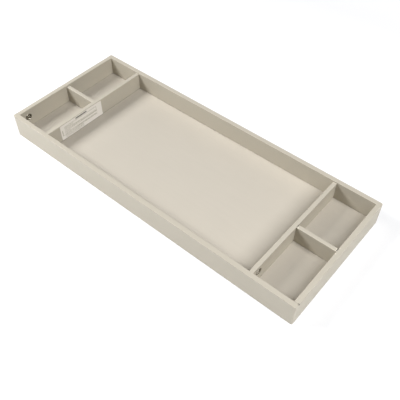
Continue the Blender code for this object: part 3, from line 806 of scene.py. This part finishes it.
def flat_groups(bm):
    """Return the large flat faces of a bmesh in groups that share a plane."""
    groups = {}
    for face in bm.faces:
        if face.calc_area() < FLAT_AREA or max(abs(part) for part in face.normal) < FLAT_NORMAL:
            continue
        way = tuple(round(part) for part in face.normal)
        level = round(face.normal.dot(face.verts[0].co) / LEVEL_STEP)
        groups.setdefault((way, level), []).append(face)
    return list(groups.values())


def add_edge_bands(bm, width):
    """Inset every flat by the band's width and mark the arrises for wear and painted highlight."""
    layer = bm.verts.layers.float.new(EDGE_MARK_ATTRIBUTE)
    for vert in bm.verts:
        vert[layer] = 1.0
    for faces in flat_groups(bm):
        bmesh.ops.inset_region(
            bm, faces=faces, thickness=width, use_boundary=True, use_even_offset=True,
        )
        for face in faces:
            for vert in face.verts:
                vert[layer] = 0.0


def seam_corner(node):
    """Return a board's front outer top corner."""
    low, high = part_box(node)
    return Vector((high.x, low.y, high.z))


def seam_cutter(node):
    """Return the cutter of the thin wedge at a board's front outer top corner."""
    outside = seam_corner(node) + Vector((SEAM_CLEAR, -SEAM_CLEAR, SEAM_CLEAR))
    bm = bmesh.new()
    for reach in SEAM_REACHES:
        bm.verts.new(outside + Vector(reach))
    bmesh.ops.convex_hull(bm, input=bm.verts[:])
    bmesh.ops.recalc_face_normals(bm, faces=bm.faces[:])
    return bm


def mark_seam(bm, node):
    """Mark the wedge's slanted face for painted shade, with the faces beside it cut off from the rest."""
    layer = bm.verts.layers.float[EDGE_MARK_ATTRIBUTE]
    corner = seam_corner(node)
    for axis, reach in enumerate(SEAM_REACHES[1:]):
        slice_across(bm, axis, corner[axis] + reach[axis] * SEAM_CUT_SHARE)
    inner, top, foot = (Vector(reach) for reach in SEAM_REACHES[1:])
    slant = (inner - top).cross(foot - top).normalized()
    for face in bm.faces:
        near = (face.calc_center_median() - corner).length < SEAM_DEPTH
        if near and abs(face.normal.dot(slant)) > SLANT_LIKENESS:
            for vert in face.verts:
                vert[layer] = SEAM_SHADE_MARK


def fine_board(node, material, look):
    """Make a board's visible piece, with bands along its arrises for wear and painted highlight."""
    bm = merged_copy(node)
    if node == SEAM_BOARD:
        bm = cut_away(bm, [seam_cutter(node)])
    add_edge_bands(bm, look.wear_and_highlight_width)
    if node == SEAM_BOARD:
        mark_seam(bm, node)
    board = add_piece("painted_" + node, bm, material, "tray", "board_paint", node)
    even_flats(board)


def loop_of(bm, points, height):
    """Return the edges of a closed loop through x and y points at a height."""
    verts = [bm.verts.new((x, y, height)) for x, y in points]
    return [bm.edges.new(pair) for pair in zip(verts, verts[1:] + verts[:1])]


def lofted(rows):
    """Return a closed bmesh lofted through rows of outline points and heights."""
    bm = bmesh.new()
    loops = [loop_of(bm, points, height) for points, height in rows]
    for lower, upper in zip(loops, loops[1:]):
        bmesh.ops.bridge_loops(bm, edges=lower + upper)
    bmesh.ops.holes_fill(bm, edges=loops[0] + loops[-1])
    bmesh.ops.recalc_face_normals(bm, faces=bm.faces[:])
    return bm


def spun(profile, flats):
    """Return a profile of radius and height points turned about the Z axis."""
    bm = bmesh.new()
    chain = [bm.verts.new((radius, 0, height)) for radius, height in profile]
    edges = [bm.edges.new(pair) for pair in zip(chain, chain[1:])]
    bmesh.ops.spin(
        bm, geom=chain + edges, cent=(0, 0, 0), axis=(0, 0, 1),
        angle=math.tau, steps=flats, use_merge=True,
    )
    bmesh.ops.remove_doubles(bm, verts=bm.verts[:], dist=MERGE_DISTANCE)
    bmesh.ops.recalc_face_normals(bm, faces=bm.faces[:])
    return bm


def cut_away(bm, cutters):
    """Return a bmesh with the cutters' bmeshes cut out of it."""
    body = add_mesh("blank", bm)
    tools = [add_mesh("cutter", cutter) for cutter in cutters]
    for tool in tools:
        modifier = body.modifiers.new("cut", "BOOLEAN")
        modifier.operation = "DIFFERENCE"
        modifier.solver = "EXACT"
        modifier.object = tool
    graph = bpy.context.evaluated_depsgraph_get()
    result = bmesh.new()
    result.from_object(body, graph)
    for item in [body, *tools]:
        mesh = item.data
        bpy.data.objects.remove(item, do_unlink=True)
        bpy.data.meshes.remove(mesh)
    return result


# Cam lock

def polar(radius, angle, centre=(0, 0)):
    """Return the point at a radius and an angle from a centre."""
    return (centre[0] + radius * math.cos(angle), centre[1] + radius * math.sin(angle))


def arc(centre, radius, start, sweep):
    """Return points along an arc, both ends included."""
    return [polar(radius, start + sweep * step / ARC_STEPS, centre) for step in range(ARC_STEPS + 1)]


def kidney(middle, span, inner, outer, grow):
    """Return the outline of a curved slot with round ends, grown by a distance all round."""
    track, half_width = (inner + outer) / 2, (outer - inner) / 2
    half = span / 2 - half_width / track
    points = []
    for way in (1, -1):
        turn_at = middle + way * half
        reach = track + way * (half_width + grow)
        points += arc((0, 0), reach, middle - way * half, 2 * way * half)
        cap_start = turn_at if way == 1 else turn_at + math.pi
        points += arc(polar(track, turn_at), half_width + grow, cap_start, math.pi)[1:-1]
    return points


def pocket_cutter(middle, look, radius):
    """Return the cutter of a face pocket: flared at the top, filleted at the foot."""
    inner, outer, dish = POCKET_HUB, radius - POCKET_RIM, -CAM_DISH_DEPTH
    steps = (
        (-CAST_FILLET, -POCKET_DEPTH),
        (-CAST_FILLET / 4, -POCKET_DEPTH + CAST_FILLET / 4),
        (0, -POCKET_DEPTH + CAST_FILLET),
        (0, dish - POCKET_FLARE / 2),
        (POCKET_FLARE, dish + POCKET_FLARE / 2),
        (POCKET_FLARE, OVERRUN),
    )
    return lofted([
        (kidney(middle, look.pocket_span, inner, outer, grow), height) for grow, height in steps
    ])


def cross_outline(length, width, grow):
    """Return the outline of a cross with bars of a length and a width."""
    half, thin = length / 2 + grow, width / 2 + grow
    quarter = ((half, thin), (thin, thin), (thin, half))
    points = []
    for turn in range(4):
        spin = Matrix.Rotation(turn * math.pi / 2, 2)
        points += [tuple(spin @ Vector(point)) for point in quarter]
    return points


def drive_cutter(look):
    """Return the cutter of the cross recess, which narrows to its foot."""
    dish = -CAM_DISH_DEPTH
    steps = (
        (-CAST_EDGE, -DRIVE_DEPTH),
        (0, dish - DRIVE_FLARE),
        (DRIVE_FLARE, dish),
        (DRIVE_FLARE, OVERRUN),
    )
    return lofted([
        (cross_outline(look.drive_length, look.drive_width, grow), height) for grow, height in steps
    ])


def arrow_cutter(radius):
    """Return the cutter of the small arrow that points to the locked side."""
    tip = radius - POCKET_RIM
    points = (
        (tip, 0),
        (tip - ARROW_LENGTH, ARROW_LENGTH / 2),
        (tip - ARROW_LENGTH, -ARROW_LENGTH / 2),
    )
    return lofted([(points, -CAM_DISH_DEPTH - ARROW_DEPTH), (points, OVERRUN)])


def hollow_outline(radius):
    """Return the outline of the hollow that draws the bolt's head in."""
    half_mouth = HEAD_HOLLOW / 2
    reach = radius + OVERRUN
    near = radius - CAM_WALL
    mouth_angle = math.asin(half_mouth / (near + CAM_DRAW))
    points = [(half_mouth, reach)]
    for step in range(CAM_FLATS + 1):
        angle = math.pi / 2 - mouth_angle - step / CAM_FLATS * (math.tau - 2 * mouth_angle)
        swell = near + CAM_DRAW * abs(angle + math.pi / 2) / math.pi
        points.append(polar(swell, angle))
    points.append((-half_mouth, reach))
    return points


def slot_outline(radius):
    """Return the outline of the neck's slot, over the half at -X."""
    reach = radius + OVERRUN
    half_neck, half_mouth = NECK_HOLLOW / 2, HEAD_HOLLOW / 2
    points = [(half_neck, 0), (half_neck, -reach)]
    for step in range(CAM_FLATS // 2 + 1):
        angle = -math.pi / 2 - math.pi * step / (CAM_FLATS // 2)
        points.append(polar(reach, angle))
    return points + [(half_mouth, reach), (half_mouth, 0)]


def rounded(points):
    """Return an open outline with its inner corners rounded off."""
    outline = [points[0]]
    for before, corner, after in zip(points, points[1:], points[2:]):
        before, corner, after = Vector(before), Vector(corner), Vector(after)
        first = corner.lerp(before, CAM_ROUND_SHARE)
        last = corner.lerp(after, CAM_ROUND_SHARE)
        for step in range(CAM_ROUND_STEPS + 1):
            share = step / CAM_ROUND_STEPS
            outline.append(tuple(first.lerp(corner, share).lerp(corner.lerp(last, share), share)))
    return [*outline, points[-1]]


def cam_blank(radius, thickness):
    """Return the cam's disc: a dished face in a raised ring, and a chamfered back."""
    crest = radius - CAM_CONE_WIDTH
    brink = crest - CAM_CREST_WIDTH
    face = rounded([
        (radius, -CAM_CONE_DROP - CAM_CREST_WIDTH), (radius, -CAM_CONE_DROP), (crest, 0), (brink, 0),
        (brink - CAM_SLOPE_WIDTH, -CAM_DISH_DEPTH), (0, -CAM_DISH_DEPTH),
    ])
    back = [
        (0, -thickness), (radius - CAM_BACK_CHAMFER, -thickness), (radius, CAM_BACK_CHAMFER - thickness),
    ]
    return spun(back + face, CAM_FLATS)


def cam_bmesh(look, radius, thickness):
    """Return one cam lock with its face up at the origin."""
    axis = -(CAM_FACE_PLATE + HEAD_HOLLOW / 2)
    half_head, half_neck = HEAD_HOLLOW / 2, NECK_HOLLOW / 2
    hollow, slot = hollow_outline(radius), slot_outline(radius)
    face = [
        pocket_cutter(math.pi / 2, look, radius),
        pocket_cutter(-math.pi / 2, look, radius),
        drive_cutter(look),
        arrow_cutter(radius),
    ]
    for cutter in face:
        cutter.transform(Matrix.Rotation(look.face_tilt, 4, "Z"))
    inside = [
        lofted([(hollow, axis - half_head), (hollow, axis + half_head)]),
        lofted([(slot, axis - half_neck), (slot, axis + half_neck)]),
    ]
    return cut_away(cam_blank(radius, thickness), face + inside)


def mark_face_edges(bm):
    """Mark the wear on the rim and on the flared edges of the cam's face."""
    layer = bm.verts.layers.float.new(EDGE_MARK_ATTRIBUTE)
    least, most = RUBBED_SLANTS
    for face in bm.faces:
        if least < face.normal.z < most and face.calc_center_median().z > -CAM_CONE_DROP:
            for vert in face.verts:
                vert[layer] = 1.0


def cam_lock(name, material, look):
    """Make one cam lock in its bore, turning with its own body."""
    node = name + "_cam_lock"
    joint = next(item for item in frame["joints"] if item["child"] == name + "_cam")
    low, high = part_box(node)
    place = Vector(joint["pos_m"])
    facing = 1 if abs(high.x - place.x) < abs(low.x - place.x) else -1
    bm = cam_bmesh(look, (high.y - low.y) / 2, high.x - low.x)
    mark_face_edges(bm)
    turn = Matrix.Rotation(facing * math.pi / 2, 4, "Y")
    bm.transform(Matrix.Translation(place) @ turn)
    cam = add_piece("cast_" + node, bm, material, name + "_cam", "zinc", node)
    even_flats(cam)


# Connector screw

def screw_profile():
    """Return the screw's outline from the head's middle to the tip."""
    head, shank, root = SCREW_HEAD_WIDTH / 2, SCREW_SHANK_WIDTH / 2, SCREW_ROOT_WIDTH / 2
    start = SCREW_HEAD_LENGTH + SCREW_SHANK_LENGTH
    points = [
        (0, 0), (head - SCREW_EDGE, 0), (head, SCREW_EDGE), (head, SCREW_HEAD_LENGTH / 2),
        (shank, SCREW_HEAD_LENGTH), (shank, start),
    ]
    tip = SCREW_SHANK_WIDTH - SCREW_ROOT_WIDTH
    length = SCREW_LENGTH - start - tip
    turns = math.floor(length / SCREW_THREAD_PITCH)
    pitch = length / turns
    for turn in range(turns):
        foot = start + turn * pitch
        points += [(root, foot), (root, foot + pitch / 4), (shank, foot + pitch / 2)]
        points.append((root, foot + pitch * 3 / 4))
    points += [(root, start + length), (0, SCREW_LENGTH)]
    return points


def hexagon(across):
    """Return the outline of a hexagon by its width across the flats."""
    reach = across / 2 / math.cos(math.pi / SOCKET_SIDES)
    return [polar(reach, turn * math.tau / SOCKET_SIDES) for turn in range(SOCKET_SIDES)]


def socket_cutter(width):
    """Return the cutter of the hexagon socket, flared at its mouth."""
    foot, mouth = hexagon(width), hexagon(width + 2 * SOCKET_FLARE)
    return lofted([(mouth, -OVERRUN), (mouth, 0), (foot, SOCKET_FLARE), (foot, SOCKET_DEPTH)])


def connector_screw(name, material, look):
    """Make one connector screw, driven in from the back rail's outer face."""
    node = name + "_connector_screw"
    low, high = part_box(node)
    bm = cut_away(spun(screw_profile(), SCREW_FLATS), [socket_cutter(look.socket_width)])
    head = Vector(((low.x + high.x) / 2, high.y, (low.z + high.z) / 2))
    turn = Vector((0, 0, 1)).rotation_difference(Vector((0, -1, 0))).to_matrix().to_4x4()
    bm.transform(Matrix.Translation(head) @ turn)
    screw = add_piece("plated_" + node, bm, material, "tray", "plated_steel", node)
    even_flats(screw)


# Label

def curl_label(bm, low, high, look):
    """Lift the label's back end and its lower edge off the board in gentle curves."""
    for vert in bm.verts:
        to_back = max(0.0, 1 - (high.y - vert.co.y) / LABEL_CURL_LENGTH)
        to_foot = max(0.0, 1 - (vert.co.z - low.z) / LABEL_CURL_HEIGHT)
        vert.co.x += look.lift * to_back ** 2 + look.foot_lift * to_foot ** 2


def ruled_label(material, look):
    """Make the ruled label on the left partition."""
    low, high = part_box("blank_label")
    bm = bmesh.new()
    ends = ((low.y, low.z), (high.y, low.z), (high.y, high.z), (low.y, high.z))
    bm.faces.new([bm.verts.new((low.x, y, z)) for y, z in ends])
    bmesh.ops.bevel(
        bm, geom=bm.verts[:], offset=look.corner_radius, segments=LABEL_CORNER_STEPS,
        profile=0.5, affect="VERTICES", material=-1, clamp_overlap=True,
    )
    for axis, count in ((Y_AXIS, LABEL_COLUMNS), (Z_AXIS, LABEL_ROWS)):
        for step in range(1, count):
            slice_across(bm, axis, low[axis] + (high[axis] - low[axis]) * step / count)
    curl_label(bm, low, high, look)
    bmesh.ops.solidify(bm, geom=bm.faces[:], thickness=look.thickness)
    bmesh.ops.recalc_face_normals(bm, faces=bm.faces[:])
    add_piece("ruled_label", bm, material, "tray", "paper", "blank_label")


# Studio

def back_direction(azimuth, elevation):
    """Return the direction from the tray to a camera or a light."""
    level = math.cos(elevation)
    return Vector((math.sin(azimuth) * level, -math.cos(azimuth) * level, math.sin(elevation)))


def turned_to(back):
    """Return the turn of a camera or a light that looks against a direction."""
    return back.to_track_quat("Z", "Y").to_matrix().to_4x4()


def camera_matrix(look):
    """Return the camera's place and its turn."""
    back = back_direction(look.camera_azimuth, look.camera_elevation)
    place = Matrix.Translation(Vector(look.camera_aim) + back * look.camera_distance)
    return place @ turned_to(back) @ Matrix.Rotation(look.camera_roll, 4, "Z")


def add_camera(look):
    """Add the camera at the photograph's angle."""
    data = bpy.data.cameras.new("camera")
    data.sensor_width = SENSOR_WIDTH * MILLIMETRES
    data.lens = look.focal_length * MILLIMETRES
    data.clip_start, data.clip_end = CLIP_NEAR, CLIP_FAR
    camera = add_object("camera", data)
    camera.matrix_world = camera_matrix(look)
    bpy.context.scene.camera = camera


def add_softbox(name, look):
    """Add a soft rectangular light that looks at the tray."""
    azimuth, elevation, width, height, distance = SOFTBOXES[name]
    data = bpy.data.lights.new(name + "_light", "AREA")
    data.shape = "RECTANGLE"
    data.size, data.size_y = width, height
    data.energy = getattr(look, name + "_power")
    data.color = look.light_colour
    light = add_object(data.name, data)
    back = back_direction(azimuth, elevation)
    light.matrix_world = Matrix.Translation(back * distance) @ turned_to(back)


def add_floor(look):
    """Add the plain pale floor just under the tray's feet."""
    bm = bmesh.new()
    bmesh.ops.create_grid(bm, x_segments=1, y_segments=1, size=FLOOR_HALF)
    bmesh.ops.translate(bm, verts=bm.verts[:], vec=(0, 0, -FLOOR_DROP))
    floor = add_mesh("studio_floor", bm, floor_material(look))


def add_world(look):
    """Set the room's even light and a plain white backdrop, and show colours as they are."""
    world = bpy.data.worlds.new("studio")
    world.use_nodes = True
    tree = world.node_tree
    ray = make_node(tree, "ShaderNodeLightPath")
    strength = spread(tree, ray.outputs["Is Camera Ray"], look.room_light, 1.0, 0, 1)
    fill_inputs(tree, tree.nodes["Background"], {"Color": WHITE, "Strength": strength})
    bpy.context.scene.world = world
    bpy.context.scene.view_settings.view_transform = "Standard"


class TRAY_OT_boards(Operator):
    """Make the painted rails, end boards, partitions and dividers"""

    bl_idname = "tray.boards"
    bl_label = "Painted boards"

    def execute(self, context):
        look = context.scene.tray_paint
        along_x = paint_material("paint_along_length", look.board_colour, X_AXIS, look)
        along_y = paint_material("paint_across", look.board_colour, Y_AXIS, look)
        for node in LONG_BOARDS:
            fine_board(node, along_x, look)
        for node in CROSS_BOARDS:
            fine_board(node, along_y, look)
        return {"FINISHED"}


class TRAY_OT_panel(Operator):
    """Paint the floor panel"""

    bl_idname = "tray.panel"
    bl_label = "Painted floor panel"

    def execute(self, context):
        look = context.scene.tray_paint
        material = paint_material("panel_paint", look.panel_colour, X_AXIS, look, with_painted_shade=False)
        frame["nodes"]["floor_panel"].material_slots[0].material = material
        return {"FINISHED"}


class TRAY_OT_cams(Operator):
    """Make the four cam locks"""

    bl_idname = "tray.cams"
    bl_label = "Cam locks"

    def execute(self, context):
        look = context.scene.tray_cam
        material = zinc_material(look)
        for name in JOINTS:
            cam_lock(name, material, look)
        return {"FINISHED"}


class TRAY_OT_fasteners(Operator):
    """Make the connector screws and finish the cam bolts and dowels"""

    bl_idname = "tray.fasteners"
    bl_label = "Screws, bolts and dowels"

    def execute(self, context):
        look = context.scene.tray_screw
        steel = steel_material(look)
        for name in JOINTS:
            connector_screw(name, steel, look)
            frame["nodes"][name + "_cam_bolt"].material_slots[0].material = steel
        dowel_wood = beech_material("beech_dowel", look, Y_AXIS)
        peg_wood = beech_material("beech_peg", look, X_AXIS)
        for node, item in frame["nodes"].items():
            if node.endswith("_dowel"):
                item.material_slots[0].material = dowel_wood
            elif node.endswith("_peg"):
                item.material_slots[0].material = peg_wood
        return {"FINISHED"}


class TRAY_OT_label(Operator):
    """Make the ruled paper label"""

    bl_idname = "tray.label"
    bl_label = "Paper label"

    def execute(self, context):
        look = context.scene.tray_label
        ruled_label(paper_material(look), look)
        return {"FINISHED"}


class TRAY_OT_studio(Operator):
    """Add the floor, the lights and the camera"""

    bl_idname = "tray.studio"
    bl_label = "Studio"

    def execute(self, context):
        look = context.scene.tray_studio
        add_camera(look)
        add_floor(look)
        add_world(look)
        for name in SOFTBOXES:
            add_softbox(name, look)
        return {"FINISHED"}


class TRAY_PT_sidebar(Panel):
    """Lists the steps that finish the tray"""

    bl_label = "Changing tray"
    bl_space_type = "VIEW_3D"
    bl_region_type = "UI"
    bl_category = "Tray"

    def draw(self, context):
        for operator in OPERATORS:
            self.layout.operator(operator.bl_idname)
        for name in SETTINGS:
            group = getattr(context.scene, name)
            box = self.layout.box()
            for key in group.__annotations__:
                box.prop(group, key)


OPERATORS = (
    TRAY_OT_boards, TRAY_OT_panel, TRAY_OT_cams, TRAY_OT_fasteners, TRAY_OT_label, TRAY_OT_studio,
)
SETTINGS = {
    "tray_paint": TRAY_PG_paint,
    "tray_cam": TRAY_PG_cam,
    "tray_screw": TRAY_PG_screw,
    "tray_label": TRAY_PG_label,
    "tray_studio": TRAY_PG_studio,
}


def register():
    """Register the settings, the operators and the panel."""
    for name, group in SETTINGS.items():
        bpy.utils.register_class(group)
        setattr(bpy.types.Scene, name, PointerProperty(type=group))
    for operator in (*OPERATORS, TRAY_PT_sidebar):
        bpy.utils.register_class(operator)


def unregister():
    """Remove what register() added."""
    for operator in (TRAY_PT_sidebar, *reversed(OPERATORS)):
        bpy.utils.unregister_class(operator)
    for name, group in SETTINGS.items():
        delattr(bpy.types.Scene, name)
        bpy.utils.unregister_class(group)


def main():
    """Finish the whole tray."""
    register()
    bpy.ops.tray.boards()
    bpy.ops.tray.panel()
    bpy.ops.tray.cams()
    bpy.ops.tray.fasteners()
    bpy.ops.tray.label()
    bpy.ops.tray.studio()


if __name__ == "__main__":
    main()
